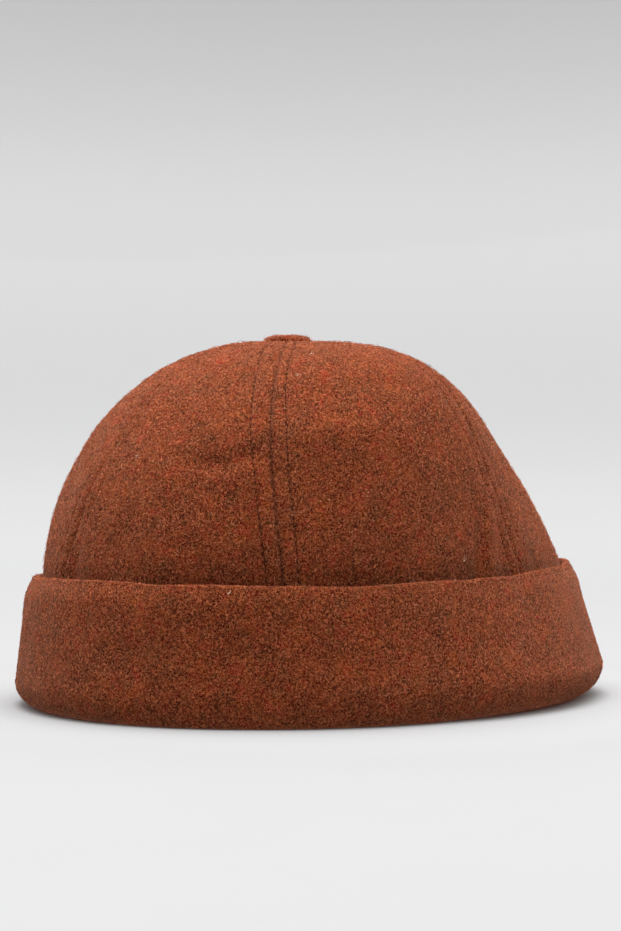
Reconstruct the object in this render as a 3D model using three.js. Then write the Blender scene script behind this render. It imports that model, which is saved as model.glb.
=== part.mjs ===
// Docker beanie: a brimless cap of six cloth gores, with a cuff folded up all round and a covered button.
// Millimetres, +Z up. The front of the hat faces -Y and the wearer's left side faces +X.
// The hat rests on the fold of its cuff, and the origin is the middle of its footprint on the floor.
import * as THREE from 'three';

// The hat's plan, an oval that is a little fuller at the back. Insets are measured in from it.
const hatLength = 222.4;
const hatWidth = 188.6;
const backFullness = 0.02;

// Crown
const crownTop = 128.5;
const crownTopCentre = new THREE.Vector2(0, -12);
const crownCloth = 2;
const seamGap = 0.3;
const tipHoleRadius = 2.6;
const goreRows = 19;
const tipCrowding = 1.25;
const fieldColumns = 6;

// Cuff
const cuffCloth = 2.4;
const slotRoom = 0.3;
const floorRing = 2.2;
const foldCloth = 2.8;
const innerLegRise = 1;
const cuffSections = 72;
const foldTurns = [30, 60, 90];
const legParts = [0.33, 0.67, 1];

// Button
const buttonDiameter = 17;
const buttonHeight = 3.6;
const buttonUnderside = crownTop - 1.3;
const buttonRim = 1.1;
const rimInset = 0.8;
const domeTurns = [25, 45, 65];
const domePower = 0.7;
const buttonSides = 20;
const shankRadius = 2;
const shankDepth = 3.5;
const dimple = 2.8;
const dimpleReach = 12.75;

// The cuff, one row for each seam of the crown above it, going round from the front by the wearer's
// left side. foot is how far its outermost line lies inside the hat's plan, foldReach and foldHeight
// are the size of the rounded fold, height is its top edge, and lean is the inset of that edge.
const cuffRows = table(['foot', 'foldReach', 'foldHeight', 'height', 'lean'], {
  'front': [0, 9, 9, 45.6, 6.1],
  'front left': [-0.5, 3.2, 4.6, 45.8, 3.2],
  'back left': [3.8, 13.2, 12, 47.1, 15.4],
  'back': [1.2, 11.5, 12, 49.6, 9.7],
  'back right': [3.8, 13.2, 12, 47.1, 15.4],
  'front right': [1, 9, 9, 43.9, 3.6],
});

// The crown at the same seams. inset and start are where it leaves the cuff, flankLean is its inward
// lean there in degrees, flank and shoulder say how full it is low down and high up, crest is how far
// it rises round the button, and sway bends the seam sideways, in degrees round the hat.
const crownRows = table(['inset', 'start', 'flankLean', 'flank', 'shoulder', 'crest', 'sway'], {
  'front': [9.4, 39, 4, 50, 52.5, 5, 10],
  'front left': [8.6, 39.5, 1.5, 56, 64, 2, -3.7],
  'back left': [18.6, 41, 10.5, 70.5, 63.5, 0.7, -12],
  'back': [13.9, 43.5, 19.5, 23, 40, 3.4, 0],
  'back right': [19.1, 41, 10.5, 70.5, 63.5, 0.7, 8],
  'front right': [7.9, 38, 1.5, 55, 64, 2, 4],
});

// Distance of the topstitching from a seam, on its side towards the front and towards the back
const stitchBefore = 6;
const stitchAfter = 5;

// Relief beside a seam: its sunken line, a puffed ridge, and the groove of the topstitching.
// The distances are shares of the distance between the seam and its topstitching.
const seamRelief = table(['share', 'raise'], {
  'seam line': [0, -0.9],
  'ridge': [0.45, 0.4],
  'topstitching': [1, -0.6],
  'plain cloth': [1.6, 0],
});
const fullReliefWidth = 30;

// The rounded top edge of the cuff, in shares of its cloth's thickness
const edgeRound = table(['across', 'down'], {
  'outer side': [0.15, 0.15],
  'crest': [0.5, 0],
  'inner side': [0.85, 0.15],
  'inner face': [1, 0.5],
});

// Dents and folds of the crown cloth. bearing is the angle round the hat in degrees, and climb the way up
// the gore from 0 to 1. length runs along the fold, turned from level by turn degrees, and width across it.
// A negative depth is a ridge.
const folds = table(['bearing', 'climb', 'length', 'width', 'turn', 'depth'], {
  'dent by the front left seam': [47, 0.333, 11, 4, 4, 1.3],
  'ridge behind the front left seam': [66, 0.335, 17, 10, 4, -1],
  'crease high on the left side': [86, 0.51, 11, 3.2, 0, 0.6],
  'furrow at the left side': [104, 0.05, 11, 3.6, 80, 1.2],
  'furrow by the back left seam': [112, 0.08, 12, 3.6, 80, 0.8],
  'furrow beside the front seam': [7, 0.1, 15, 3.6, 95, 1.1],
});

// Rows of numbers as objects with the named columns
function table(columns, rows) {
  return Object.values(rows).map((row) => Object.fromEntries(columns.map((column, i) => [column, row[i]])));
}

const tau = 2 * Math.PI;
const seamCount = crownRows.length;
const seamStep = tau / seamCount;
const rulerSteps = 40;
const probe = 1e-3;
const tiny = 1e-9;

// A column of one of the two tables, as a smooth curve through its rows round the hat
function around(rows, column, angle) {
  return rows.reduce((sum, row, index) => {
    const away = angle - index * seamStep;
    const half = Math.tan(away / 2);
    const weight = Math.abs(half) < tiny ? 1 : Math.sin(seamCount * away / 2) / (seamCount * half);
    return sum + weight * row[column];
  }, 0);
}

// A point of the hat's plan, moved in by inset from its outermost line
function planPoint(angle, inset) {
  const halfWidth = hatWidth / 2;
  const halfLength = hatLength / 2;
  const sine = Math.sin(angle);
  const cosine = Math.cos(angle);
  const point = new THREE.Vector2(halfWidth * sine * (1 - backFullness * cosine), -halfLength * cosine);
  const along = halfWidth * (cosine * (1 - backFullness * cosine) + backFullness * sine * sine);
  const outward = new THREE.Vector2(halfLength * sine, -along).normalize();
  return point.addScaledVector(outward, -inset);
}

// The smooth outer face of the crown, climbing from its seam with the cuff at 0 to the button at 1
function crownPoint(angle, climb) {
  const base = planPoint(angle, around(crownRows, 'inset', angle)).sub(crownTopCentre);
  const reach = base.length();
  const low = around(crownRows, 'start', angle);
  const lean = THREE.MathUtils.degToRad(around(crownRows, 'flankLean', angle));
  const flank = around(crownRows, 'flank', angle);
  const profile = new THREE.CubicBezierCurve(
    new THREE.Vector2(reach, low),
    new THREE.Vector2(reach - flank * Math.sin(lean), low + flank * Math.cos(lean)),
    new THREE.Vector2(around(crownRows, 'shoulder', angle), crownTop + around(crownRows, 'crest', angle)),
    new THREE.Vector2(0, crownTop),
  );
  const { x: radius, y: height } = profile.getPoint(climb);
  const plan = base.multiplyScalar(radius / reach).add(crownTopCentre);
  return new THREE.Vector3(plan.x, plan.y, height);
}

// The crown's outward direction. Its lowest edge stays upright, so that it sits level on the cuff.
function crownNormal(angle, climb) {
  const sideways = crownPoint(angle + probe, climb).sub(crownPoint(angle - probe, climb));
  const upwards = crownPoint(angle, climb + probe).sub(crownPoint(angle, climb - probe));
  const normal = sideways.cross(upwards);
  if (climb === 0) normal.z = 0;
  return normal.normalize();
}

function bell(distance, reach) {
  return Math.exp(-((distance / reach) ** 2));
}

// Depth of all the folds at a point of the crown
function foldDepth(point) {
  return folds.reduce((sum, fold) => {
    const bearing = THREE.MathUtils.degToRad(fold.bearing);
    const turn = THREE.MathUtils.degToRad(fold.turn);
    const away = point.clone().sub(crownPoint(bearing, fold.climb));
    const ahead = crownPoint(bearing + probe, fold.climb);
    const level = ahead.sub(crownPoint(bearing - probe, fold.climb)).normalize();
    const rise = crownNormal(bearing, fold.climb).cross(level);
    const along = away.dot(level) * Math.cos(turn) + away.dot(rise) * Math.sin(turn);
    const across = away.dot(rise) * Math.cos(turn) - away.dot(level) * Math.sin(turn);
    return sum + fold.depth * bell(along, fold.length) * bell(across, fold.width);
  }, 0);
}

// The dip that the button pulls into the top of the crown
function dimpleDepth(point) {
  const away = crownTopCentre.distanceTo(new THREE.Vector2(point.x, point.y));
  return dimple * Math.exp(-((away / dimpleReach) ** 4));
}

function seamAngle(index, climb) {
  const sway = THREE.MathUtils.degToRad(crownRows[index % seamCount].sway);
  return index * seamStep + sway * Math.sin(Math.PI * climb);
}

// The climb at each row of a gore, closer together towards the tip. Near the top the crown's radius
// falls by three times its shoulder for each unit of climb.
function goreClimbs() {
  const tipClimb = 1 - tipHoleRadius / (3 * crownRows[0].shoulder);
  return Array.from({ length: goreRows + 1 }, (_, row) => {
    return tipClimb * (1 - (1 - row / goreRows) ** tipCrowding);
  });
}

// One row of a gore, as columns of angle and raise placed at real distances from its two seams
function goreColumns(index, climb) {
  const first = seamAngle(index, climb);
  const last = seamAngle(index + 1, climb);
  const lengths = [0];
  for (let i = 1; i <= rulerSteps; i += 1) {
    const here = crownPoint(THREE.MathUtils.lerp(first, last, i / rulerSteps), climb);
    const before = crownPoint(THREE.MathUtils.lerp(first, last, (i - 1) / rulerSteps), climb);
    lengths.push(lengths[i - 1] + here.distanceTo(before));
  }
  const width = lengths[rulerSteps];
  const angleAt = (distance) => {
    const next = Math.max(1, lengths.findIndex((length) => length >= distance - tiny));
    const part = (distance - lengths[next - 1]) / (lengths[next] - lengths[next - 1]);
    return THREE.MathUtils.lerp(first, last, (next - 1 + part) / rulerSteps);
  };
  const scale = Math.min(1, width / fullReliefWidth);
  const relief = (stitch) => seamRelief.map(({ share, raise }) => {
    return { distance: Math.max(seamGap / 2, share * stitch * scale), raise: raise * scale };
  });
  const after = relief(stitchAfter);
  const before = relief(stitchBefore).reverse().map(({ distance, raise }) => {
    return { distance: width - distance, raise };
  });
  const field = Array.from({ length: fieldColumns - 1 }, (_, step) => {
    const part = (step + 1) / fieldColumns;
    return { distance: THREE.MathUtils.lerp(after.at(-1).distance, before[0].distance, part), raise: 0 };
  });
  return [...after, ...field, ...before].map(({ distance, raise }) => ({ angle: angleAt(distance), raise }));
}

// A closed shell from two grids of points with the same rows and columns
function shellGeometry(outer, inner) {
  const rows = outer.length;
  const columns = outer[0].length;
  const positions = [...outer.flat(), ...inner.flat()].flatMap((point) => point.toArray());
  const indices = [];
  const quad = (a, b, c, d) => indices.push(a, b, c, a, c, d);
  const out = (row, column) => row * columns + column;
  const back = (row, column) => rows * columns + out(row, column);
  for (let row = 0; row < rows - 1; row += 1) {
    for (let column = 0; column < columns - 1; column += 1) {
      quad(out(row, column), out(row, column + 1), out(row + 1, column + 1), out(row + 1, column));
      quad(back(row, column), back(row + 1, column), back(row + 1, column + 1), back(row, column + 1));
    }
    const above = row + 1;
    quad(out(row, 0), out(above, 0), back(above, 0), back(row, 0));
    quad(out(above, columns - 1), out(row, columns - 1), back(row, columns - 1), back(above, columns - 1));
  }
  const top = rows - 1;
  for (let column = 0; column < columns - 1; column += 1) {
    const next = column + 1;
    quad(out(0, next), out(0, column), back(0, column), back(0, next));
    quad(out(top, column), out(top, next), back(top, next), back(top, column));
  }
  return indexedGeometry(positions, indices);
}

function indexedGeometry(positions, indices) {
  const geometry = new THREE.BufferGeometry();
  geometry.setAttribute('position', new THREE.Float32BufferAttribute(positions, 3));
  geometry.setIndex(indices);
  geometry.computeVertexNormals();
  return geometry;
}

function goreGeometry(index) {
  const outer = [];
  const inner = [];
  for (const climb of goreClimbs()) {
    const columns = goreColumns(index, climb).map(({ angle, raise }) => {
      const point = crownPoint(angle, climb);
      const normal = crownNormal(angle, climb);
      const lift = raise - foldDepth(point) - dimpleDepth(point);
      return { face: point.addScaledVector(normal, lift), normal };
    });
    outer.push(columns.map(({ face }) => face));
    inner.push(columns.map(({ face, normal }) => face.clone().addScaledVector(normal, -crownCloth)));
  }
  return shellGeometry(outer, inner);
}

// A quarter of an ellipse of the fold, from its lowest point at turn 0 up to turn 90, as inset and height
function foldPoint(inset, height, reach, rise, turn) {
  const up = THREE.MathUtils.degToRad(turn);
  return [inset + reach * (1 - Math.sin(up)), height + rise * (1 - Math.cos(up))];
}

// The cuff's section at one angle, as points of inset and height, round the fold, up the outer leg and
// over its edge, down between the legs, and up and down the inner leg that is sewn to the crown
function cuffSection(angle) {
  const foot = around(cuffRows, 'foot', angle);
  const reach = around(cuffRows, 'foldReach', angle);
  const fold = around(cuffRows, 'foldHeight', angle);
  const top = around(cuffRows, 'height', angle);
  const lean = around(cuffRows, 'lean', angle);
  const legTop = around(crownRows, 'start', angle) - seamGap;
  const crown = around(crownRows, 'inset', angle);
  const ring = foot + reach;
  const edge = cuffCloth / 2;
  const slot = foot + cuffCloth + slotRoom;
  const outerLeg = (height) => THREE.MathUtils.mapLinear(height, fold, top, foot, lean);
  const section = [[ring + floorRing, 0], [ring, 0]];
  for (const turn of foldTurns) {
    section.push(foldPoint(foot, 0, reach, fold, turn));
  }
  for (const part of legParts) {
    const height = THREE.MathUtils.lerp(fold, top - edge, part);
    section.push([outerLeg(height), height]);
  }
  for (const { across, down } of edgeRound) {
    section.push([outerLeg(top) + across * cuffCloth, top - down * cuffCloth]);
  }
  section.push([outerLeg(top / 2) + cuffCloth, top / 2]);
  section.push([slot, fold]);
  for (const turn of foldTurns.slice(0, -1).reverse()) {
    section.push(foldPoint(slot, foldCloth, ring - slot, fold - foldCloth, turn));
  }
  section.push([ring + slotRoom, foldCloth]);
  section.push([ring + innerLegRise, fold]);
  section.push([crown, legTop]);
  section.push([crown + crownCloth, legTop]);
  section.push([ring + innerLegRise + crownCloth, fold]);
  return section;
}

// A closed ring through the same section points at every angle
function cuffGeometry() {
  const positions = [];
  const indices = [];
  const size = cuffSection(0).length;
  for (let turn = 0; turn < cuffSections; turn += 1) {
    const angle = turn / cuffSections * tau;
    for (const [inset, height] of cuffSection(angle)) {
      positions.push(...planPoint(angle, inset).toArray(), height);
    }
    for (let step = 0; step < size; step += 1) {
      const nextTurn = (turn + 1) % cuffSections;
      const nextStep = (step + 1) % size;
      const a = turn * size + step;
      const b = nextTurn * size + step;
      const c = nextTurn * size + nextStep;
      const d = turn * size + nextStep;
      indices.push(a, b, c, a, c, d);
    }
  }
  return indexedGeometry(positions, indices);
}

// A low domed button with a short shank that fills the hole where the gores meet
function buttonGeometry() {
  const radius = buttonDiameter / 2;
  const profile = [
    new THREE.Vector2(0, -shankDepth),
    new THREE.Vector2(shankRadius, -shankDepth),
    new THREE.Vector2(shankRadius, 0),
    new THREE.Vector2(radius - rimInset, 0),
    new THREE.Vector2(radius, buttonRim),
  ];
  for (const turn of domeTurns) {
    const angle = THREE.MathUtils.degToRad(turn);
    const height = buttonRim + (buttonHeight - buttonRim) * Math.sin(angle) ** domePower;
    profile.push(new THREE.Vector2(radius * Math.cos(angle) ** domePower, height));
  }
  profile.push(new THREE.Vector2(0, buttonHeight));
  return new THREE.LatheGeometry(profile, buttonSides).rotateX(Math.PI / 2);
}

function clothMaterial(color) {
  return new THREE.MeshStandardMaterial({ color, roughness: 0.95, metalness: 0 });
}

const hat = new THREE.Group();
hat.name = 'docker_beanie';

for (let index = 0; index < seamCount; index += 1) {
  const gore = new THREE.Mesh(goreGeometry(index), clothMaterial('#7f4028'));
  gore.name = `crown_panel_${index + 1}`;
  hat.add(gore);
}

const cuff = new THREE.Mesh(cuffGeometry(), clothMaterial('#6b3420'));
cuff.name = 'cuff';
hat.add(cuff);

const button = new THREE.Mesh(buttonGeometry(), clothMaterial('#8a4a30'));
button.name = 'button';
button.position.set(crownTopCentre.x, crownTopCentre.y, buttonUnderside);
hat.add(button);

export default hat;
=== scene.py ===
import math

import bpy
import numpy as np
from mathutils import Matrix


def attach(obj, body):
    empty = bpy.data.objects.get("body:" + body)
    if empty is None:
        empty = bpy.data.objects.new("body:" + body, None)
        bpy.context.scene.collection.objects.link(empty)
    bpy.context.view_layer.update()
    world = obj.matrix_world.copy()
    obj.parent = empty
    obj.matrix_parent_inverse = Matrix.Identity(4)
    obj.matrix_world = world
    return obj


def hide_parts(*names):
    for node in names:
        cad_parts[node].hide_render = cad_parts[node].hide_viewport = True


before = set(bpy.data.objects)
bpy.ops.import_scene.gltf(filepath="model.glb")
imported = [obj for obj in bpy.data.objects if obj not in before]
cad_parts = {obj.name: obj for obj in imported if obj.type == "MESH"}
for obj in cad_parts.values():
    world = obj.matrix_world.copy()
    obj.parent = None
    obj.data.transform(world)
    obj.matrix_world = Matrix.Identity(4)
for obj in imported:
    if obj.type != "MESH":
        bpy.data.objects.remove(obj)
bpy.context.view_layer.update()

# A wool docker beanie: six gores, a folded cuff and a covered button.
# Lengths are millimetres here and become metres when a mesh is made. The front of the hat faces -Y.
mm = 0.001
seamCount = 6
seamStep = 2 * math.pi / seamCount
print("frame: loaded,", len(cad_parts), "solids")


def linked(name, data):
    made = bpy.data.objects.new(name, data)
    bpy.context.scene.collection.objects.link(made)
    return made


# Camera, level with the lower part of the crown
cameraPlan = {
    "bearing": 60.94,    # degrees round from the front of the hat towards the wearer's left side
    "distance": 735,     # from the hat's upright axis
    "height": 83.9,
    "turnLeft": 0.176,   # degrees
    "lens": 78.09,
    "sensor": 36,
    "clip": (0.02, 30),  # metres
}


def placeCamera():
    bearing = math.radians(cameraPlan["bearing"])
    reach = cameraPlan["distance"] * mm
    data = bpy.data.cameras.new("camera")
    data.lens = cameraPlan["lens"]
    data.sensor_width = cameraPlan["sensor"]
    data.clip_start, data.clip_end = cameraPlan["clip"]
    camera = linked("camera", data)
    camera.location = (reach * math.sin(bearing), -reach * math.cos(bearing), cameraPlan["height"] * mm)
    camera.rotation_euler = (math.pi / 2, 0, bearing + math.radians(cameraPlan["turnLeft"]))
    bpy.context.scene.camera = camera


hatPlan = {
    "length": 222.4,
    "width": 188.6,
    "backFullness": 0.02,   # how much wider the back half is
    "crownTop": 128.5,
    "topCentre": (0, -12),  # where the six seams meet
}

# Numbers at every seam of the crown, going round from the front by the wearer's left side:
# front, front left, back left, back, back right, front right
crownRows = {
    "inset": [9.4, 8.6, 18.6, 13.9, 19.1, 7.9],    # from the plan's outline to the crown
    "start": [39, 39.5, 41, 43.5, 41, 38],         # height where it leaves the cuff
    "flankLean": [4, 1.5, 10.5, 19.5, 10.5, 1.5],  # degrees, at that height
    "flank": [50, 56, 70.5, 23, 70.5, 55],         # fullness low down
    "shoulder": [52.5, 64, 63.5, 40, 63.5, 64],    # fullness high up
    "crest": [5, 2, 0.7, 3.4, 0.7, 2],             # rise round the button
    "sway": [10, -3.7, -12, 0, 8, 4],              # degrees that the seam bends sideways
    "tuck": [3.2, 3.2, 1.9, 0.2, 1.9, 3.2],        # how far the cloth turns in towards the cuff
}
seamStrength = [0.42, 1, 0.46, 0.8, 0.8, 0.7]             # how deep each seam's relief and thread lie

# The cuff at the same places
cuffRows = {
    "foot": [0, -0.5, 3.8, 1.2, 3.8, 1],             # from the plan's outline to the cuff
    "foldReach": [9, 5.2, 13.2, 11.5, 13.2, 9],      # width of the rounded fold
    "foldHeight": [9, 12, 12, 12, 12, 9],
    "height": [45.6, 45.8, 47.1, 49.6, 47.1, 43.9],  # top edge
    "lean": [5.2, 1.3, 15.4, 9.9, 15.4, 3.4],        # inset of the top edge
    "brim": [2.6, 1.5, 1.1, 3.2, 1, 1],              # how much further its last part bends in
}


# A row of numbers as a smooth curve through them round the hat
def around(row, angle):
    away = np.asarray(angle, float)[..., None] - np.arange(seamCount) * seamStep
    half = np.tan(away / 2)
    close = np.abs(half) < 1e-9
    safeHalf = np.where(close, 1, half)
    weight = np.where(close, 1, np.sin(seamCount * away / 2) / (seamCount * safeHalf))
    return weight @ np.array(row, float)


# A point of the hat's plan, moved in by inset from its outermost line
def planPoint(angle, inset):
    halfWidth = hatPlan["width"] / 2
    halfLength = hatPlan["length"] / 2
    fullness = hatPlan["backFullness"]
    sine = np.sin(angle)
    cosine = np.cos(angle)
    x = halfWidth * sine * (1 - fullness * cosine)
    y = -halfLength * cosine
    outX = halfLength * sine
    outY = -halfWidth * (cosine * (1 - fullness * cosine) + fullness * sine * sine)
    size = np.hypot(outX, outY)
    return np.stack([x - inset * outX / size, y - inset * outY / size], -1)


# The smooth outer face of the crown, from its seam with the cuff at climb 0 to the button at 1
def crownPoint(angle, climb):
    angle, climb = np.broadcast_arrays(np.asarray(angle, float), np.asarray(climb, float))
    centre = np.array(hatPlan["topCentre"], float)
    base = planPoint(angle, around(crownRows["inset"], angle)) - centre
    reach = np.linalg.norm(base, axis=-1)
    low = around(crownRows["start"], angle)
    lean = np.radians(around(crownRows["flankLean"], angle))
    flank = around(crownRows["flank"], angle)
    top = hatPlan["crownTop"]
    radii = [reach, reach - flank * np.sin(lean), around(crownRows["shoulder"], angle), 0 * reach]
    heights = [low, low + flank * np.cos(lean), top + around(crownRows["crest"], angle), top + 0 * reach]
    rest = 1 - climb
    shares = [rest ** 3, 3 * rest ** 2 * climb, 3 * rest * climb ** 2, climb ** 3]
    radius = sum(share * value for share, value in zip(shares, radii))
    height = sum(share * value for share, value in zip(shares, heights))
    plan = base * (radius / reach)[..., None] + centre
    return np.concatenate([plan, height[..., None]], -1)


def unit(vectors):
    return vectors / np.maximum(np.linalg.norm(vectors, axis=-1, keepdims=True), 1e-12)


def crownNormal(angle, climb):
    step = 1e-3
    sideways = crownPoint(angle + step, climb) - crownPoint(angle - step, climb)
    upwards = crownPoint(angle, climb + step) - crownPoint(angle, climb - step)
    return unit(np.cross(sideways, upwards))


# Smooth seeded unevenness of about unit size, as waves in many directions
def softNoise(points, wavelength, seed, waves=24):
    draw = np.random.default_rng(seed)
    heading = unit(draw.normal(size=(waves, 3)))
    pace = 2 * math.pi / (wavelength * draw.uniform(0.7, 1.5, waves))
    start = draw.uniform(0, 2 * math.pi, waves)
    return np.cos(points @ (heading * pace[:, None]).T + start).sum(-1) * math.sqrt(2 / waves)


# Layers of it, each a height, a wavelength and a seed
def lumpy(points, layers):
    return sum(height * softNoise(points, *rest) for height, *rest in layers)


def bell(distance, reach):
    return np.exp(-(distance / reach) ** 2)


# Mesh making

def meshPiece(name, points, faces, material, crease=50):
    mesh = bpy.data.meshes.new(name)
    corners = np.concatenate([np.asarray(part, np.int32).ravel() for part in faces])
    counts = np.concatenate([np.full(len(part), np.shape(part)[1], np.int32) for part in faces])
    starts = np.concatenate([[0], np.cumsum(counts)[:-1]]).astype(np.int32)
    mesh.vertices.add(len(points))
    mesh.vertices.foreach_set("co", (np.asarray(points, float) * mm).astype(np.float32).ravel())
    mesh.loops.add(len(corners))
    mesh.loops.foreach_set("vertex_index", corners)
    mesh.polygons.add(len(counts))
    mesh.polygons.foreach_set("loop_start", starts)
    mesh.polygons.foreach_set("use_smooth", np.ones(len(counts), bool))
    mesh.update(calc_edges=True)
    mesh.validate()
    mesh.set_sharp_from_angle(angle=math.radians(crease))
    mesh.materials.append(material)
    return linked(name, mesh)


def pointShade(piece, name, values):
    layer = piece.data.attributes.new(name, "FLOAT", "POINT")
    layer.data.foreach_set("value", np.asarray(values, np.float32))


def gridFaces(rows, columns, first=0, wrap=False, flip=False):
    across = columns if wrap else columns - 1
    row, column = np.meshgrid(np.arange(rows - 1), np.arange(across), indexing="ij")
    after = (column + 1) % columns
    quads = np.stack([
        row * columns + column,
        row * columns + after,
        (row + 1) * columns + after,
        (row + 1) * columns + column,
    ], -1).reshape(-1, 4) + first
    return quads[:, ::-1] if flip else quads


# A closed shell from two grids of points with the same rows and columns
def shellFaces(rows, columns):
    front = gridFaces(rows, columns)
    back = gridFaces(rows, columns, rows * columns, flip=True)
    grid = np.arange(rows * columns).reshape(rows, columns)
    edge = np.concatenate([grid[0, ::-1], grid[1:, 0], grid[-1, 1:], grid[-2:0:-1, -1]])
    after = np.roll(edge, -1)
    rim = np.stack([edge, after, after + rows * columns, edge + rows * columns], -1)
    return [front, back, rim]


def gridNormals(grid):
    along = np.gradient(grid, axis=1)
    upward = np.gradient(grid, axis=0)
    return unit(np.cross(along, upward))


# Materials

# One socket of a shader, so that sums on it read as sums
class Wire:
    def __init__(self, sheet, socket):
        self.sheet = sheet
        self.socket = socket

    def sum(self, operation, first, second):
        return self.sheet.add("ShaderNodeMath", {"operation": operation}, {0: first, 1: second})

    def __add__(self, other):
        return self.sum("ADD", self, other)

    __radd__ = __add__

    def __sub__(self, other):
        return self.sum("SUBTRACT", self, other)

    def __rsub__(self, other):
        return self.sum("SUBTRACT", other, self)

    def __mul__(self, other):
        return self.sum("MULTIPLY", self, other)

    __rmul__ = __mul__

    def __abs__(self):
        return self.sheet.add("ShaderNodeMath", {"operation": "ABSOLUTE"}, {0: self})


# The nodes of one material or of the world
class ShaderSheet:
    def __init__(self, owner, surface="BSDF_PRINCIPLED"):
        owner.use_nodes = True
        self.owner = owner
        self.nodes = owner.node_tree.nodes
        self.links = owner.node_tree.links
        self.surface = next(node for node in self.nodes if node.type == surface)

    def add(self, kind, settings=None, sockets=None, output=0):
        node = self.nodes.new(kind)
        for key, value in (settings or {}).items():
            if key == "stops":
                self.setStops(node.color_ramp, value)
            else:
                setattr(node, key, value)
        for key, value in (sockets or {}).items():
            self.feed(node.inputs[key], value)
        return Wire(self, node.outputs[output])

    def setStops(self, ramp, stops):
        while len(ramp.elements) < len(stops):
            ramp.elements.new(1)
        for element, (place, color) in zip(ramp.elements, stops):
            element.position = place
            element.color = (*color, 1)

    def feed(self, socket, value):
        if isinstance(value, Wire):
            self.links.new(value.socket, socket)
        else:
            socket.default_value = value

    # The place on a piece, in millimetres
    def place(self):
        coordinate = self.add("ShaderNodeTexCoord", output=3)
        return self.add("ShaderNodeVectorMath", {"operation": "SCALE"}, {0: coordinate, "Scale": 1 / mm})

    def noise(self, place, size, detail=2, roughness=0.5, warp=0):
        return self.add("ShaderNodeTexNoise", {"noise_dimensions": "3D"}, {
            "Vector": place, "Scale": 1 / size, "Detail": detail,
            "Roughness": roughness, "Distortion": warp,
        })

    # 0 below low and 1 above high, with a soft step between
    def step(self, value, low, high):
        return self.add("ShaderNodeMapRange", {"interpolation_type": "SMOOTHSTEP"}, {
            "Value": value, "From Min": low, "From Max": high,
        })

    # The part of a value over 0, up to 1
    def positive(self, value):
        return self.add("ShaderNodeClamp", None, {"Value": value, "Min": 0, "Max": 1})

    def mix(self, factor, first, second, blend="MIX"):
        settings = {"data_type": "RGBA", "blend_type": blend}
        return self.add("ShaderNodeMix", settings, {0: factor, 6: first, 7: second}, output=2)

    def shifted(self, place, offset):
        return self.add("ShaderNodeVectorMath", {"operation": "ADD"}, {0: place, 1: offset})

    # Sets inputs of the surface and gives what the sheet belongs to
    def finished(self, inputs):
        for name, value in inputs.items():
            self.feed(self.surface.inputs[name], value)
        return self.owner


def rgb(red, green, blue):
    def linear(value):
        value /= 255
        return value / 12.92 if value <= 0.04045 else ((value + 0.055) / 1.055) ** 2.4
    return (linear(red), linear(green), linear(blue))


def rgba(color):
    return (*color, 1)


# The brushed wool melange. Sizes are millimetres on the cloth.
woolLook = {
    "rustFibre": rgb(87, 29, 8),
    "orangeFibre": rgb(112, 47, 11),
    "redFibre": rgb(112, 24, 16),
    "mossFibre": rgb(56, 38, 17),
    "paleFibre": rgb(208, 118, 76),
    "gapShade": (0.22, 0.16, 0.11),   # painted shade: what the gaps between fibres multiply the colour by
    "patchSize": 9,                  # slow changes of tone over the cloth
    "patchSpread": 2.4,
    "hueSize": 4.3,                  # streaks of one colour
    "hueStep": 0.18,                 # how softly a streak begins
    "toneSize": 0.95,                # tufts
    "toneSpread": 1.6,
    "fleckSize": 0.38,               # single fibres
    "fleckSpread": 8.5,
    "paleMost": 0.28,
    "hairSize": 1.1,                 # bends of the longer pale hairs
    "hairWidth": 0.05,
    "hairBreaks": (0.49, 0.57),      # where a hair fades in, in a second noise
    "hairShare": 0.62,
    "roughness": 0.95,
    "specular": 0.04,
    "sheen": 0.2,
    "sheenRoughness": 0.24,
    "sheenTint": (1.0, 0.66, 0.48),
    "bumpDepth": 0.6,
    "bumpShares": (0.5, 0.6, 0.15),  # of single fibres, tufts and longer hairs
    "paintedShadeDepth": 0.6,              # how much the painted shade along seams and over the cuff darkens the cloth, where its nap is also flattened
}

# The fibres carded into the rust: streak size against hueSize, where a streak begins in the noise, and
# how much of the colour it takes over
oddFibres = {
    "orangeFibre": (1, 0.46, 0.75),
    "redFibre": (0.8, 0.5, 0.85),
    "mossFibre": (0.7, 0.52, 0.65),
}

# Three layers of longer hairs: each one's place in the noise, and the place of what breaks it up
hairLayers = [((0, 0, 0), (9, 2, 4)), ((60, 33, 21), (12, 52, 31)), ((17, 80, 5), (40, 6, 66))]


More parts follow.
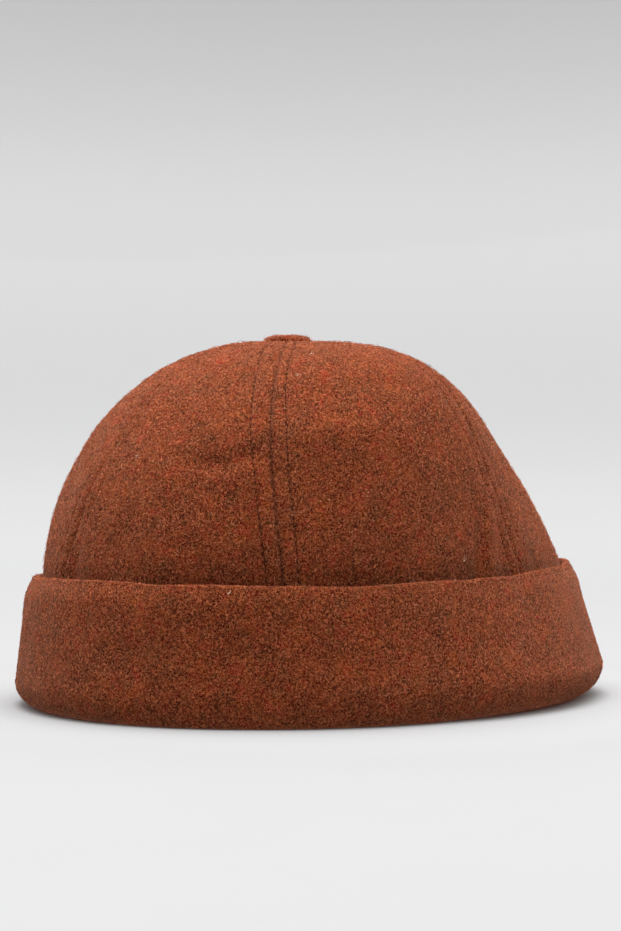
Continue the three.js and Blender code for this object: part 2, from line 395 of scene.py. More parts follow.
def woolMaterial(name, tone=1.0):
    look = woolLook
    sheet = ShaderSheet(bpy.data.materials.new(name))
    place = sheet.place()
    # fibres of several colours, carded together in streaks a few millimetres long
    color = rgba(look["rustFibre"])
    for number, (fibre, (size, low, share)) in enumerate(oddFibres.items()):
        elsewhere = sheet.shifted(place, (31 * number, 7, 19))
        spread = sheet.noise(elsewhere, look["hueSize"] * size, detail=1, warp=0.7)
        streak = sheet.step(spread, low, low + look["hueStep"]) * share
        color = sheet.mix(streak, color, rgba(look[fibre]))
    # single fibres: pale fibres with a painted highlight where they would catch the light, and painted
    # shade in the gaps between them
    toneNoise = sheet.noise(sheet.shifted(place, (5, 71, 3)), look["toneSize"], detail=2, warp=0.8)
    fleck = sheet.noise(sheet.shifted(place, (43, 13, 57)), look["fleckSize"], detail=1, roughness=0.6)
    relief = (toneNoise - 0.5) * look["toneSpread"] + (fleck - 0.5) * look["fleckSpread"]
    gap = sheet.positive(0 - relief)
    tip = sheet.positive(relief)
    # longer pale hairs, where a field of noise crosses its middle value
    strands = 0
    for offset, mask in hairLayers:
        field = sheet.noise(sheet.shifted(place, offset), look["hairSize"], detail=1, warp=1.4)
        line = 1 - sheet.step(abs(field - 0.5), 0, look["hairWidth"])
        broken = sheet.noise(sheet.shifted(place, mask), look["hairSize"] * 0.8, detail=1)
        strands = line * sheet.step(broken, *look["hairBreaks"]) + strands
    # slow changes of tone over the cloth, and painted shade in the seams' valleys and grooves and on the
    # crown just over the cuff, where the nap is also flattened
    patch = sheet.noise(sheet.shifted(place, (2, 90, 40)), look["patchSize"], detail=3)
    tint = tone * (1 + (patch - 0.5) * look["patchSpread"])
    pressed = sheet.add("ShaderNodeAttribute", {"attribute_name": "pressed"}, output=2)
    tint = tint * (1 - pressed * look["paintedShadeDepth"])
    gray = sheet.add("ShaderNodeCombineColor", None, {0: tint, 1: tint, 2: tint})
    color = sheet.mix(1.0, color, gray, "MULTIPLY")
    color = sheet.mix(gap, color, rgba(look["gapShade"]), "MULTIPLY")
    color = sheet.mix(tip * look["paleMost"], color, rgba(look["paleFibre"]))
    color = sheet.mix(strands * look["hairShare"], color, rgba(look["paleFibre"]))
    fleckShare, toneShare, strandShare = look["bumpShares"]
    height = fleck * fleckShare + toneNoise * toneShare + strands * strandShare
    bump = sheet.add("ShaderNodeBump", None, {
        "Height": height, "Distance": look["bumpDepth"] * mm, "Strength": 1.0,
    })
    return sheet.finished({
        "Base Color": color,
        "Normal": bump,
        "Roughness": look["roughness"],
        "Specular IOR Level": look["specular"],
        "Sheen Weight": look["sheen"],
        "Sheen Roughness": look["sheenRoughness"],
        "Sheen Tint": rgba(look["sheenTint"]),
    })


# Loose fibres and thread, whose tint changes from one to the next
fibreLook = {
    "size": 0.6,  # how far apart two tints lie
    "roughness": 0.8,
    "specular": 0.02,
}


def fibreMaterial(name, stops):
    sheet = ShaderSheet(bpy.data.materials.new(name))
    tint = sheet.noise(sheet.place(), fibreLook["size"], detail=2, roughness=0.7)
    return sheet.finished({
        "Base Color": sheet.add("ShaderNodeValToRGB", {"stops": stops}, {"Fac": tint}),
        "Roughness": fibreLook["roughness"],
        "Specular IOR Level": fibreLook["specular"],
    })


crownWool = woolMaterial("crown_wool")
# The cuff's wool is the crown's made darker, a painted shade on the cuff.
cuffWool = woolMaterial("cuff_wool", tone=0.92)
buttonWool = woolMaterial("button_wool", tone=1.04)
napWool = fibreMaterial("nap_wool", [
    (0.32, rgb(52, 20, 10)),
    (0.44, rgb(112, 50, 27)),
    (0.53, rgb(176, 92, 56)),
    (0.62, rgb(230, 152, 116)),
])
threadCotton = fibreMaterial("thread_cotton", [
    (0.35, rgb(40, 17, 10)),
    (0.6, rgb(66, 30, 18)),
])
print("materials: made")

# Crown

crownShape = {
    "cloth": 2,
    "rows": 96,
    "rowCrowding": 1.15,         # of the rows towards the top
    "fieldColumns": 38,          # between the two seams' own
    "seamGap": 0.1,
    "tipHole": 2.6,              # left open under the button
    "fullReliefWidth": 30,       # a gore narrower than this has its relief drawn closer together
    "tuckHeight": 6.5,
    # painted shade on the crown just over the cuff: its strength and its reach
    "tuckShade": 0.7,
    "tuckShadeReach": 9.1,
    "lumps": [(0.17, 34, 7), (0.068, 13, 8)],
    "gathers": [(0.4, 15, 11)],  # upright furrows over the cuff
    "gatherStretch": 0.22,
    "gatherHeight": 17,
    "sunk": 0.4,                 # room for the nap
    "dimple": 2.8,               # round the button
    "dimpleReach": 12.75,
}

# A seam. Its ridge and shoulder have a height, and a place and width as shares of the distance to the
# topstitching. The others have a depth or a strength, and a width.
seamShape = {
    "ridge": (0.34, 0.48, 0.3),
    "shoulder": (0.12, 1.55, 0.33),
    "valley": (1.0, 0.75),
    "groove": (0.5, 0.55),
    # painted shade in the valley, in the grooves of the topstitching and in a band along the seam
    "valleyShade": (1.3, 0.55),
    "grooveShade": (0.8, 0.42),
    "flatShade": (0.25, 12),           # a band of painted shade along the seam, where the nap is also flattened a little
    "puff": (0.3, 9),                  # how unevenly the ridge rises, and over what length
    "shadeChange": (0.85, 0.25, 3.5),  # the shade's middle, unevenness and length
}

# How far the two lines of topstitching lie from a seam, on its side towards the front of the hat and
# on its side towards the back, at several climbs
stitchLines = {
    "climb": [0, 0.1, 0.2, 0.3, 0.4, 0.5, 0.6],
    "before": [5.7, 5.3, 5.5, 5.8, 6.6, 6.7, 6.7],
    "after": [4.9, 5.4, 5.6, 5.5, 5.3, 4.6, 3.8],
}

# Each fold's bearing round the hat in degrees, climb up the gore, length along it, width across it,
# degrees that it is turned from level, and depth
crownFolds = {
    "dent by the front left seam": (50.5, 0.335, 8, 3.2, 8, 1.3),
    "dent further round": (43, 0.33, 7, 3.4, -12, 1.1),
    "puff under the dent": (46.5, 0.29, 10, 3.6, 4, -0.35),
    "lower hollow of the dent": (43.5, 0.253, 6, 2.6, -14, 0.45),
    "lowest hollow of the dent": (40, 0.212, 6, 3, -14, 0.5),
    "ridge behind the front left seam": (78, 0.36, 22, 8, 2, -0.8),
    "hollow along the front left seam": (63, 0.27, 24, 8, 90, 0.6),
    "bend across the front left seam": (61, 0.385, 24, 8, 0, -1.0),
    "crease high on the left side": (86, 0.51, 11, 2.8, 0, 0.6),
    "furrow at the left side": (104, 0.05, 11, 3.6, 80, 1.2),
    "furrow by the back left seam": (112, 0.08, 12, 3.6, 80, 0.8),
    "furrow beside the front seam": (7, 0.07, 15, 3.6, 95, 1.4),
    "pinch at the front left seam": (57, 0.28, 3, 2.4, -40, 0.7),
    "small furrow over the cuff": (86, 0.05, 6, 2.2, 88, 0.6),
    "puff between the left furrows": (108, 0.1, 12, 3, 82, -0.5),
}

# Shares of the distance between a seam and its topstitching, where a gore has a column of points
seamColumns = [0.0, 0.07, 0.15, 0.25, 0.37, 0.5, 0.62, 0.74, 0.83, 0.9, 0.95,
               1.0, 1.05, 1.1, 1.17, 1.27, 1.4, 1.6, 1.85, 2.1]


def foldDepth(points):
    total = np.zeros(points.shape[:-1])
    for bearing, climb, length, width, turn, depth in crownFolds.values():
        bearing = math.radians(bearing)
        turn = math.radians(turn)
        away = points - crownPoint(bearing, climb)
        level = unit(crownPoint(bearing + 0.01, climb) - crownPoint(bearing - 0.01, climb))
        rise = np.cross(crownNormal(bearing, climb), level)
        along = away @ level * math.cos(turn) + away @ rise * math.sin(turn)
        across = away @ rise * math.cos(turn) - away @ level * math.sin(turn)
        total += depth * bell(along, length) * bell(across, width)
    return total


def dimpleDepth(points):
    away = np.linalg.norm(points[..., :2] - np.array(hatPlan["topCentre"]), axis=-1)
    return crownShape["dimple"] * np.exp(-(away / crownShape["dimpleReach"]) ** 4)


def seamAngle(index, climb):
    sway = math.radians(crownRows["sway"][index % seamCount])
    return index * seamStep + sway * np.sin(math.pi * climb)


# Angles across a gore and how far each is from the gore's first seam, for each climb
def goreRuler(index, climbs, samples=60):
    share = np.linspace(0, 1, samples + 1)
    first = seamAngle(index, climbs)[:, None]
    last = seamAngle(index + 1, climbs)[:, None]
    angles = first + (last - first) * share
    points = crownPoint(angles, climbs[:, None])
    steps = np.linalg.norm(np.diff(points, axis=1), axis=-1)
    lengths = np.concatenate([np.zeros((len(climbs), 1)), np.cumsum(steps, 1)], 1)
    return angles, lengths


def anglesAt(angles, lengths, distances):
    rows = zip(distances, lengths, angles)
    return np.array([np.interp(want, have, angle) for want, have, angle in rows])


# One part of a seam's section, at a distance from its middle
def seamPart(part, distance, scale):
    most, width = seamShape[part]
    return most * bell(distance, width * scale)


# Height of the cloth at a distance from a seam whose topstitching is at stitch
def seamRelief(distance, stitch, scale, puff):
    ridge, shoulder = [
        height * bell(distance - place * stitch, width * stitch)
        for height, place, width in (seamShape["ridge"], seamShape["shoulder"])
    ]
    valley = seamPart("valley", distance, scale)
    groove = seamPart("groove", distance - stitch, scale)
    return scale * (ridge * puff + shoulder - valley - groove)


# Painted shade of a seam's valley, grooves and band, where the nap is also flattened
def seamPressedAndShade(distance, stitch, scale):
    lines = seamPart("valleyShade", distance, scale) + seamPart("grooveShade", distance - stitch, scale)
    return lines + seamPart("flatShade", distance, scale)


def goreSurface(index):
    shape = crownShape
    tip = 1 - shape["tipHole"] / (3 * crownRows["shoulder"][0])
    climbs = tip * (1 - (1 - np.linspace(0, 1, shape["rows"])) ** shape["rowCrowding"])
    angles, lengths = goreRuler(index, climbs)
    width = lengths[:, -1:]
    scale = np.minimum(1, width / shape["fullReliefWidth"])
    before, after = [
        np.interp(climbs, stitchLines["climb"], stitchLines[side])[:, None] * scale
        for side in ("before", "after")
    ]
    edge = shape["seamGap"] / 2
    afterColumns = np.maximum(np.array(seamColumns) * after, edge)
    beforeColumns = width - np.maximum(np.array(seamColumns[::-1]) * before, edge)
    part = np.arange(1, shape["fieldColumns"]) / shape["fieldColumns"]
    field = afterColumns[:, -1:] + (beforeColumns[:, :1] - afterColumns[:, -1:]) * part
    distances = np.concatenate([afterColumns, field, beforeColumns], 1)
    grid = anglesAt(angles, lengths, distances)
    climb = np.repeat(climbs[:, None], grid.shape[1], 1)
    points = crownPoint(grid, climb)
    normals = crownNormal(grid, climb)
    puff = 1 + lumpy(points, [(*seamShape["puff"], 40 + index)])
    relief = 0
    pressed = 0
    for seam, away, stitch in ((index, distances, after), (index + 1, width - distances, before)):
        strength = seamStrength[seam % seamCount]
        relief = relief + seamRelief(away, stitch, scale, puff) * strength
        pressed = pressed + seamPressedAndShade(away, stitch, scale) * strength
    shade, *change = seamShape["shadeChange"]
    pressed = pressed * (shade + lumpy(points, [(*change, 60 + index)]))
    height = points[..., 2] - around(crownRows["start"], grid)
    tuck = around(crownRows["tuck"], grid) * np.exp(-np.maximum(height, 0) / shape["tuckHeight"])
    # painted shade on the crown just over the cuff
    pressed = np.clip(pressed + shape["tuckShade"] * bell(height, shape["tuckShadeReach"]), 0, 1)
    lumps = lumpy(points, shape["lumps"]) * np.clip(1 - climb ** 4, 0, 1)
    upright = points * np.array([1, 1, shape["gatherStretch"]])
    gathers = lumpy(upright, shape["gathers"]) * np.exp(-height / shape["gatherHeight"])
    lift = relief + lumps + gathers - tuck - foldDepth(points) - dimpleDepth(points) - shape["sunk"]
    outer = points + normals * lift[..., None]
    inner = outer - normals * (shape["cloth"] + np.minimum(relief, 0) * 0.5)[..., None]
    return outer, inner, pressed


def makeGore(index):
    outer, inner, pressed = goreSurface(index)
    rows, columns = outer.shape[:2]
    points = np.concatenate([outer.reshape(-1, 3), inner.reshape(-1, 3)])
    name = f"gore_{index + 1}"
    piece = meshPiece(name, points, shellFaces(rows, columns), crownWool)
    pointShade(piece, "pressed", np.concatenate([pressed.ravel(), 0 * pressed.ravel()]))
    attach(piece, "root")
    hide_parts(f"crown_panel_{index + 1}")
    return piece, outer, pressed


# Topstitching: two rows of sunken stitches for each gore
stitchShape = {
    "pitch": 2.9,
    "gap": 0.7,
    "radius": 0.24,
    "sides": 6,
    "sink": 0.45,                      # how far the ends of a stitch go into the cloth
    "proud": 0.02,
    "weakSink": 0.5,                   # how far the thread of a weak seam lies in the cloth
    "firstAt": 0.8,                    # from the edge of the gore
    "bareRows": 4,                     # rows of a gore under the button that have none
    "along": [0, 0.12, 0.5, 0.88, 1],  # places on one stitch, and its form there
    "sinkForm": [1, 0.3, 0, 0.3, 1],
    "girthForm": [0.5, 0.9, 1, 0.9, 0.5],
}


def stitchTubes(path, normals, strength):
    shape = stitchShape
    steps = np.linalg.norm(np.diff(path, axis=0), axis=1)
    length = np.concatenate([[0], np.cumsum(steps)])
    starts = np.arange(shape["firstAt"], length[-1] - shape["pitch"], shape["pitch"])
    share = np.array(shape["along"])
    sink = np.array(shape["sinkForm"]) * shape["sink"]
    girth = np.array(shape["girthForm"]) * shape["radius"]
    places = starts[:, None] + shape["gap"] / 2 + share * (shape["pitch"] - shape["gap"])
    at = np.stack([np.interp(places, length, path[:, i]) for i in range(3)], -1)
    out = unit(np.stack([np.interp(places, length, normals[:, i]) for i in range(3)], -1))
    ahead = unit(np.gradient(at, axis=1))
    side = unit(np.cross(ahead, out))
    at = at + out * (shape["proud"] - shape["weakSink"] * (1 - strength) - sink)[None, :, None]
    turn = np.arange(shape["sides"]) / shape["sides"] * 2 * math.pi
    ring = side[:, :, None] * np.cos(turn)[:, None] + out[:, :, None] * np.sin(turn)[:, None]
    return at[:, :, None] + ring * girth[None, :, None, None]


def tubeFaces(count, rings, sides):
    one = gridFaces(rings, sides, wrap=True, flip=True)
    cap = np.arange(sides)[None]
    lastCap = (rings - 1) * sides + np.arange(sides)[::-1][None]
    offset = (np.arange(count) * rings * sides)[:, None, None]
    return [(one[None] + offset).reshape(-1, 4), (cap[None] + offset).reshape(-1, sides),
            (lastCap[None] + offset).reshape(-1, sides)]


def makeStitches(index, outer):
    normals = gridNormals(outer)
    columns = outer.shape[1]
    stitchColumn = seamColumns.index(1.0)
    tubes = []
    shown = slice(0, -stitchShape["bareRows"])
    for column, seam in ((stitchColumn, index), (columns - 1 - stitchColumn, (index + 1) % seamCount)):
        tubes.append(stitchTubes(outer[shown, column], normals[shown, column], seamStrength[seam]))
    points = np.concatenate(tubes)
    faces = tubeFaces(*points.shape[:3])
    piece = meshPiece(f"stitches_{index + 1}", points.reshape(-1, 3), faces, threadCotton, crease=60)
    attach(piece, "root")
    return piece


# Nap: short wool fibres that lie on the cloth, each a thin tapered hair
napShape = {
    "lengthMiddle": 1.9,
    "lengthSpread": 0.42,
    "lengthMost": 3.4,
    "radius": 0.062,
    "radiusSpread": (0.7, 1.25),
    "rootGirth": 0.8,
    "root": 0.2,                 # how deep a hair starts in the cloth
    "liftMost": 0.3,
    "middleRise": (0.08, 0.55),  # over the cloth, and its share of the hair's lift
    "endRise": (0.02, 0.75),
    "curl": 0.7,
    "crownHairs": 6900,          # for each gore
    "cuffHairs": 12000,          # for each half of the cuff
    "buttonHairs": 420,
    "buttonScale": 0.7,
    "floorGap": 0.02,            # least height of a hair over the floor
    "bareRows": 5,               # rows of a gore inside the cuff that need none
    "seamBare": 0.85,            # how much of it is missing where the painted shade of the seams and of the crown's foot lies
}


def gridSamples(grid, count, draw, bare=None):
    normals = gridNormals(grid)
    corners = [grid[:-1, :-1], grid[:-1, 1:], grid[1:, 1:], grid[1:, :-1]]
    area = np.linalg.norm(np.cross(corners[1] - corners[0], corners[3] - corners[0]), axis=-1)
    if bare is not None:
        area = area * (1 - napShape["seamBare"] * bare[:-1, :-1])
    area = area.ravel()
    chosen = draw.choice(len(area), count, p=area / area.sum())
    row, column = np.divmod(chosen, grid.shape[1] - 1)
    u = draw.random(count)[:, None]
    v = draw.random(count)[:, None]

    def blended(values):
        low = values[row, column] * (1 - u) + values[row, column + 1] * u
        high = values[row + 1, column] * (1 - u) + values[row + 1, column + 1] * u
        return low * (1 - v) + high * v
    return blended(grid), unit(blended(normals))


def hairs(roots, normals, draw, lengthScale=1.0):
    shape = napShape
    count = len(roots)
    aside = unit(np.cross(normals, draw.normal(size=(count, 3))))
    lengths = shape["lengthMiddle"] * np.exp(draw.normal(0, shape["lengthSpread"], count)) * lengthScale
    lengths = np.minimum(lengths, shape["lengthMost"])[:, None]
    lift = (draw.random((count, 1)) ** 2) * shape["liftMost"]
    curl = draw.normal(0, shape["curl"], (count, 1))
    across = np.cross(normals, aside)
    start = roots - normals * shape["root"]
    rises = [low + more * lift * lengths for low, more in (shape["middleRise"], shape["endRise"])]
    middle = roots + aside * lengths * 0.5 + normals * rises[0]
    end = roots + unit(aside + across * curl) * lengths + normals * rises[1]
    radius = shape["radius"] * draw.uniform(*shape["radiusSpread"], (count, 1))
    turn = draw.uniform(0, 2 * math.pi, (count, 1))
    first = unit(middle - start)
    side = unit(np.cross(first, normals + 0.01))   # never along the hair itself
    up = np.cross(side, first)
    rings = []
    for centre, girth in ((start, shape["rootGirth"]), (middle, 1.0)):
        for corner in range(3):
            spin = turn + corner * 2 * math.pi / 3
            rings.append(centre + (side * np.cos(spin) + up * np.sin(spin)) * radius * girth)
    return np.stack([*rings, end], 1)


hairFaces = {
    "quads": np.array([[0, 1, 4, 3], [1, 2, 5, 4], [2, 0, 3, 5]]),
    "triangles": np.array([[3, 4, 6], [4, 5, 6], [5, 3, 6], [2, 1, 0]]),
}


def makeNap(name, points, wool=napWool):
    # a hair that would reach through the floor is lifted onto it
    lowest = points[..., 2].min(axis=1, keepdims=True)
    points[..., 2] += np.maximum(napShape["floorGap"] - lowest, 0)
    offset = (np.arange(len(points)) * points.shape[1])[:, None, None]
    faces = [(kind[None] + offset).reshape(-1, kind.shape[1]) for kind in hairFaces.values()]
    piece = meshPiece(name, points.reshape(-1, 3), faces, wool, crease=80)
    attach(piece, "root")
    return piece


# Cuff: one closed section of the band at each of many angles round the hat
cuffShape = {
    "cloth": 2.4,
    "slotRoom": 0.3,     # between the legs
    "floorRing": 2.2,    # width of the ring that touches the floor
    "ringStep": 0.6,
    "foldCloth": 2.8,    # thickness of the fold over the floor
    "innerLegRise": 1,   # how far the inner leg leans in
    "innerLegGap": 0.3,  # between its top and the crown
    "sections": 440,
    "foldSteps": 12,
    "legSteps": 27,
    "edgeSteps": 8,
    "lumps": [(0.2, 44, 31), (0.09, 16, 32)],
    "calmHeight": 9,     # below it the lumps fade out towards the floor
    "topWave": [(0.25, 38, 21)],
    "brimHeight": 8,     # the part below the top edge that bends in
    "sunk": 0.3,         # room for the nap
}


# Points between corners, spaced evenly along each stretch
def stretched(corners, counts):
    runs = []
    for (first, last), count in zip(zip(corners[:-1], corners[1:]), counts):
        share = np.arange(count)[:, None] / count
        runs.append([[a + (b - a) * part for a, b in zip(first, last)] for part in share[:, 0]])
    return [point for run in runs for point in run]


# A quarter of an ellipse of the fold, from its lowest point at turn 0 up to a quarter turn
def foldPoint(inset, height, reach, rise, turn):
    return (inset + reach * (1 - math.sin(turn)), height + rise * (1 - math.cos(turn)))


def cuffSections():
    shape = cuffShape
    angle = np.arange(shape["sections"]) / shape["sections"] * 2 * math.pi
    foot, reach, fold, top, lean, brim = [around(row, angle) for row in cuffRows.values()]
    outline = np.stack([*planPoint(angle, 0).T, 0 * angle], -1)
    top = top + lumpy(outline, shape["topWave"])
    legTop = around(crownRows["start"], angle) - shape["innerLegGap"]
    crown = around(crownRows["inset"], angle)
    edge = shape["cloth"] / 2
    ring = foot + reach
    slot = foot + shape["cloth"] + shape["slotRoom"]
    zero = 0 * angle
    quarter = math.pi / 2

    def outerLeg(height):
        bend = np.clip(1 - (top - height) / shape["brimHeight"], 0, 1) ** 2 * brim
        return foot + (lean - foot) * (height - fold) / (top - fold) + bend

    section = [(ring + shape["floorRing"], zero), (ring + shape["ringStep"], zero)]
    for part in np.linspace(0, 1, shape["foldSteps"]):
        section.append(foldPoint(foot, 0, reach, fold, part * quarter))
    for part in np.linspace(0, 1, shape["legSteps"] + 1)[1:]:
        height = fold + (top - edge - fold) * part
        section.append((outerLeg(height), height))
    legEnd = outerLeg(top - edge)
    for part in np.linspace(0, 2, shape["edgeSteps"] + 1)[1:-1]:
        turn = part * quarter
        section.append((legEnd + edge * (1 - math.cos(turn)), top - edge + edge * math.sin(turn)))
    section += stretched([
        (legEnd + shape["cloth"], top - edge),
        (outerLeg(0.5 * top) + shape["cloth"], 0.5 * top),
        (slot, fold),
    ], [4, 4])
    rise = fold - shape["foldCloth"]
    for part in (1, 0.75, 0.5, 0.25):
        section.append(foldPoint(slot, shape["foldCloth"], ring - slot, rise, part * quarter))
    clothWidth = crownShape["cloth"]
    section += stretched([
        (ring + shape["slotRoom"], zero + shape["foldCloth"]),
        (ring + shape["innerLegRise"], fold),
        (crown, legTop),
        (crown + clothWidth, legTop),
        (ring + shape["innerLegRise"] + clothWidth, fold),
        (ring + shape["floorRing"], zero),
    ], [2, 6, 2, 6, 2])
    inset = np.stack([point[0] for point in section], 1)
    height = np.stack([point[1] for point in section], 1)
    return angle, inset, height


def makeCuff():
    shape = cuffShape
    angle, inset, height = cuffSections()
    plan = planPoint(np.repeat(angle[:, None], inset.shape[1], 1), inset)
    points = np.concatenate([plan, height[..., None]], -1)
    inside = planPoint(angle[:, None], np.full_like(inset, 30))
    outward = points - np.concatenate([inside, height[..., None]], -1)
    outward = unit(outward * np.array([1, 1, 0]))
    swell = lumpy(points, shape["lumps"]) - shape["sunk"]
    hold = np.clip(height / shape["calmHeight"], 0, 1)
    points = points + outward * (swell * hold)[..., None]
    rows, columns = points.shape[:2]
    faces = gridFaces(rows + 1, columns, wrap=True)
    faces = np.where(faces >= rows * columns, faces - rows * columns, faces)
    piece = meshPiece("cuff_band", points.reshape(-1, 3), [faces], cuffWool)
    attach(piece, "root")
    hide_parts("cuff")
    first = 2   # after the section's two points on the floor
    last = first + shape["foldSteps"] + shape["legSteps"] + shape["edgeSteps"]
    outer = np.concatenate([points, points[:1]])[:, first:last].transpose(1, 0, 2)
    return piece, outer


# A profile of reach and height turned round the upright axis
def turned(profile, sides):
    turn = np.arange(sides) / sides * 2 * math.pi
    reach, height = np.array(profile).T[..., None]
    return np.stack([reach * np.cos(turn), reach * np.sin(turn), height + 0 * turn], -1)


# Button
buttonShape = {
    "diameter": 17,
    "height": 3.6,
    "underside": 1.3,                # below the crown's top
    "rim": 0.36,                     # where it is widest, as a share of its height
    "rimRound": 0.9,
    "dome": (0.62, 0.85),            # powers that make it fuller than a half ellipse
    "shankRadius": 2,
    "shankDepth": 3.5,
    "sides": 96,
    "underRows": 10,                 # points of the profile without nap
    "gathers": [(0.0144, 3.2, 51)],  # round the rim, as a share of its radius
    "lumps": [(0.03, 5, 52)],
}


def makeButton():
    shape = buttonShape
    radius = shape["diameter"] / 2
    rim = shape["rim"] * shape["height"]
    profile = [(0.02, -shape["shankDepth"]), (shape["shankRadius"] * 0.9, -shape["shankDepth"]),
               (shape["shankRadius"], -shape["shankDepth"] * 0.6), (shape["shankRadius"], -0.2),
               (shape["shankRadius"] + 0.5, 0.12), (radius * 0.55, 0.1), (radius * 0.8, 0.05)]
    for turn in np.radians(np.arange(-70, 0, 17.5)):
        bulge = shape["rimRound"]
        profile.append((radius - bulge + bulge * math.cos(turn), rim + rim * math.sin(turn)))
    sidePower, topPower = shape["dome"]
    for turn in np.radians(np.linspace(0, 89.5, 22)):
        reach = radius * math.cos(turn) ** sidePower
        profile.append((reach, rim + (shape["height"] - rim) * math.sin(turn) ** topPower))
    points = turned(profile, shape["sides"])
    ripple = lumpy(turned([(9, 0)], shape["sides"]), shape["gathers"])
    lowered = np.clip(1 - np.abs(points[..., 2] - 0.5 * rim) / rim, 0, 1)
    points[..., :2] *= (1 + ripple * lowered)[..., None]
    calm = np.clip(np.array(profile)[:, :1] / 3, 0, 1)
    points[..., 2] += lumpy(points, shape["lumps"]) * calm
    centre = np.array([*hatPlan["topCentre"], hatPlan["crownTop"] - shape["underside"]])
    points += centre
    rows, columns = points.shape[:2]
    count = rows * columns
    faces = gridFaces(rows, columns, wrap=True)
    ends = [np.arange(columns)[::-1][None], (count - columns + np.arange(columns))[None]]
    piece = meshPiece("button_cover", points.reshape(-1, 3), [faces, *ends], buttonWool)
    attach(piece, "root")
    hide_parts("button")
    closed = np.concatenate([points, points[:, :1]], 1)
    return closed[shape["underRows"]:-2]


# Coloured neps, the small knots of odd fibre in the cloth
nepShape = {
    "scattered": 1,  # for each gore and each half of the cuff
    "margin": 8,     # least rows and columns from their edges
    "hairs": 16,
    "radius": 0.2,
    "hairScale": 0.42,
    "deepTone": 0.4,
}

nepColours = {
    "pale": rgb(240, 208, 180),
    "red": rgb(190, 38, 52),
    "dark": rgb(30, 34, 34),
}

# The ones that stand out: on the crown at a bearing and climb, on the cuff at a bearing and height
nepPlaces = {
    "pale": [("crown", 99, 0.045), ("crown", 63.5, 0.6)],
    "red": [("cuff", 73, 21.8)],
    "dark": [("cuff", 49.5, 11.5), ("crown", 63, 0.77)],
}


def nearest(grids, point):
    best = min(grids, key=lambda grid: np.linalg.norm(grid[0] - point, axis=-1).min())
    away = np.linalg.norm(best[0] - point, axis=-1)
    row, column = np.unravel_index(away.argmin(), away.shape)
    return best[0][row, column], best[1][row, column]


# crownGrids and cuffGrids are pairs of points and normals
def makeNeps(crownGrids, cuffGrids):
    shape = nepShape
    draw = np.random.default_rng(700)
    for colour, tint in nepColours.items():
        spots = []
        for where, bearing, climb in nepPlaces[colour]:
            angle = math.radians(bearing)
            if where == "crown":
                spots.append(nearest(crownGrids, crownPoint(angle, climb)))
            else:
                foot = planPoint(angle, around(cuffRows["foot"], angle))
                spots.append(nearest(cuffGrids, np.array([*foot, climb])))
        for points, normals in [*crownGrids, *cuffGrids]:
            for _ in range(shape["scattered"]):
                row = draw.integers(shape["margin"], points.shape[0] - shape["margin"])
                column = draw.integers(shape["margin"], points.shape[1] - shape["margin"])
                spots.append((points[row, column], normals[row, column]))
        roots = np.repeat([spot[0] for spot in spots], shape["hairs"], 0)
        normals = np.repeat([spot[1] for spot in spots], shape["hairs"], 0)
        roots = roots + np.cross(normals, draw.normal(size=roots.shape)) * shape["radius"]
        deep = tuple(shape["deepTone"] * part for part in tint)
        wool = fibreMaterial(f"nep_{colour}", [(0.3, deep), (0.6, tint)])
        makeNap(f"neps_{colour}", hairs(roots, normals, draw, shape["hairScale"]), wool)


# The stage: one floor that turns up into a low wall all round
stageShape = {
    "floorRadius": 1200,
    "bendRadius": 900,
    "wallHeight": 1100,
    "sides": 128,
    "nearTone": 0.3,
    "farTone": 0.416,
    "farFrom": (0.25, 1.6),  # metres from the middle
    "wallTone": 0.6,
    "wallFrom": (0.1, 0.5),  # metres up
    "paintedLightBeside": 0.03,      # painted light close to the hat, against its shadow
    "besideTo": (0.1, 0.17),
    "grain": 0.006,
    "grainSize": 0.05,       # metres
    "coolness": 1.005,
    "roughness": 0.95,
    "specular": 0.1,
}


def makeStage():
    shape = stageShape
    profile = [(0.5, 0), (200, 0), (500, 0), (shape["floorRadius"], 0)]
    for turn in np.radians(np.arange(5, 91, 5)):
        reach = shape["floorRadius"] + shape["bendRadius"] * math.sin(turn)
        profile.append((reach, shape["bendRadius"] * (1 - math.cos(turn))))
    profile.append((profile[-1][0], shape["wallHeight"]))
    points = turned(profile, shape["sides"])
    faces = gridFaces(*points.shape[:2], wrap=True, flip=True)
    middle = np.arange(shape["sides"])[::-1][None]
    sheet = ShaderSheet(bpy.data.materials.new("stage_paper"))
    coordinate = sheet.add("ShaderNodeTexCoord", output=3)
    height = sheet.add("ShaderNodeSeparateXYZ", None, {0: coordinate}, output=2)
    away = sheet.add("ShaderNodeVectorMath", {"operation": "LENGTH"}, {0: coordinate}, output=1)
    grain = sheet.noise(coordinate, shape["grainSize"], detail=3)
    tone = shape["nearTone"]
    tone = tone + (shape["farTone"] - shape["nearTone"]) * sheet.step(away, *shape["farFrom"])
    tone = tone + (shape["wallTone"] - shape["farTone"]) * sheet.step(height, *shape["wallFrom"])
    # painted light on the floor round the hat, lightening its shadow
    tone = tone + shape["paintedLightBeside"] * (1 - sheet.step(away, *shape["besideTo"]))
    tone = tone + (grain - 0.5) * shape["grain"]
    gray = sheet.add("ShaderNodeCombineColor", None, {0: tone, 1: tone, 2: tone * shape["coolness"]})
    paper = sheet.finished({
        "Base Color": gray,
        "Roughness": shape["roughness"],
        "Specular IOR Level": shape["specular"],
    })
    floor = meshPiece("studio_floor", points.reshape(-1, 3), [faces, middle], paper)
    floor.visible_diffuse = False      # what the hat gets from below is set in the sky


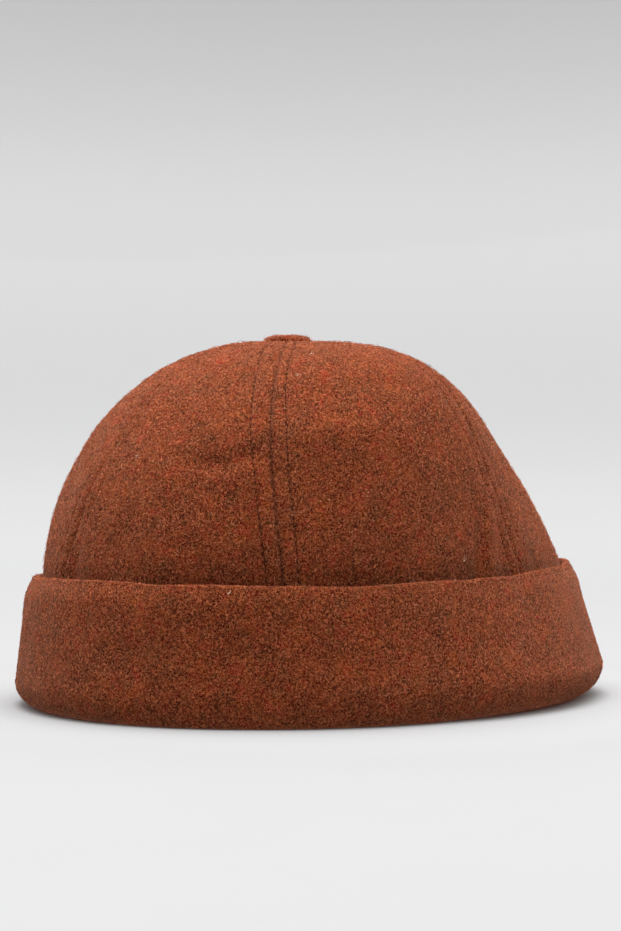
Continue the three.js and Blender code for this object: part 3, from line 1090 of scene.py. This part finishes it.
# Light from a sky and one lamp overhead. Front and right are the camera's. A pair is where an effect
# begins or ends, as a part of the direction that it goes by.
lightPlan = {
    "below": 0.8,       # the sky's strength straight down, level and straight up
    "level": 0.5,
    "above": 2.4,
    "frontLess": 0.85,  # lower light that is missing in front
    "frontFrom": (0, 0.9),
    "frontTo": (-0.3, 0.6),
    "rightLess": 1.0,   # level light that is missing on the right
    "levelAbove": (0.1, 0.55),
    "levelBelow": (0.05, 0.45),
    "rightMore": 0.11,  # more of all the light on the right, less on the left
    "tableMore": 2.4,   # more light off the table on both sides
    "tableFrom": (0.2, 0.5),
    "tableTo": (0.7, 0.95),
    "tableRight": 0.9,  # more light from below on the right, less on the left
    "asideFrom": (0.1, 0.8),
    "overhead": {"place": (0.03, -0.05, 1.2), "size": 1.2, "power": 20},
}


def makeLights():
    scene = bpy.context.scene
    scene.view_settings.view_transform = "Standard"
    scene.world = bpy.data.worlds.new("studio")
    sheet = ShaderSheet(scene.world, "BACKGROUND")
    plan = lightPlan
    bearing = math.radians(cameraPlan["bearing"])
    front = (math.sin(bearing), -math.cos(bearing), 0)
    right = (math.cos(bearing), math.sin(bearing), 0)
    direction = sheet.add("ShaderNodeTexCoord")
    up = sheet.add("ShaderNodeSeparateXYZ", None, {0: direction}, output=2)
    toFront, toRight = [
        sheet.add("ShaderNodeVectorMath", {"operation": "DOT_PRODUCT"}, {0: direction, 1: side}, output=1)
        for side in (front, right)
    ]
    higher = sheet.positive(up)
    lower = sheet.positive(0 - up)
    strength = plan["level"] + higher * (plan["above"] - plan["level"])
    strength = strength + lower * (plan["below"] - plan["level"])
    missing = sheet.step(toFront, *plan["frontFrom"]) * (1 - sheet.step(up, *plan["frontTo"]))
    missing = missing * plan["frontLess"]
    level = (1 - sheet.step(higher, *plan["levelAbove"])) * (1 - sheet.step(lower, *plan["levelBelow"]))
    level = level * sheet.step(toRight, *plan["asideFrom"]) * plan["rightLess"]
    grazing = sheet.step(lower, *plan["tableFrom"]) * (1 - sheet.step(lower, *plan["tableTo"]))
    table = grazing * sheet.step(abs(toRight), *plan["asideFrom"]) * plan["tableMore"]
    strength = strength * (1 - missing) * (1 - level)
    strength = strength * (1 + table) * (1 + toRight * plan["rightMore"])
    strength = strength * (1 + lower * toRight * plan["tableRight"])
    sheet.finished({"Strength": strength, "Color": (1, 1, 1, 1)})
    lamp = plan["overhead"]
    data = bpy.data.lights.new("overhead", "AREA")
    data.shape = "DISK"
    data.size = lamp["size"]
    data.energy = lamp["power"]
    light = linked("overhead", data)
    light.location = lamp["place"]
    light.visible_camera = False


placeCamera()
makeStage()
makeLights()
print("camera, stage and lights: placed")

crownGrids = []
for index in range(seamCount):
    gore, outer, pressed = makeGore(index)
    stitches = makeStitches(index, outer)
    draw = np.random.default_rng(300 + index)
    shown = outer[napShape["bareRows"]:]
    pressedAndShadeShown = pressed[napShape["bareRows"]:]
    roots, normals = gridSamples(shown, napShape["crownHairs"], draw, pressedAndShadeShown)
    nap = makeNap(f"nap_{index + 1}", hairs(roots, normals, draw))
    crownGrids.append((shown, gridNormals(shown)))
print("crown: six gores, stitches and nap")

cuffPiece, cuffFace = makeCuff()
cuffGrids = []
halves = np.array_split(np.arange(cuffFace.shape[1]), 2)
for number, half in enumerate(halves):
    draw = np.random.default_rng(400 + number)
    part = cuffFace[:, half[0]:half[-1] + 2]
    roots, normals = gridSamples(part, napShape["cuffHairs"], draw)
    makeNap(f"nap_cuff_{number + 1}", hairs(roots, -normals, draw))
    cuffGrids.append((part, -gridNormals(part)))
print("cuff: band and nap")

makeNeps(crownGrids, cuffGrids)
print("neps: made")

buttonFace = makeButton()
draw = np.random.default_rng(500)
roots, normals = gridSamples(buttonFace, napShape["buttonHairs"], draw)
makeNap("nap_button", hairs(roots, normals, draw, napShape["buttonScale"]))
print("button: made")
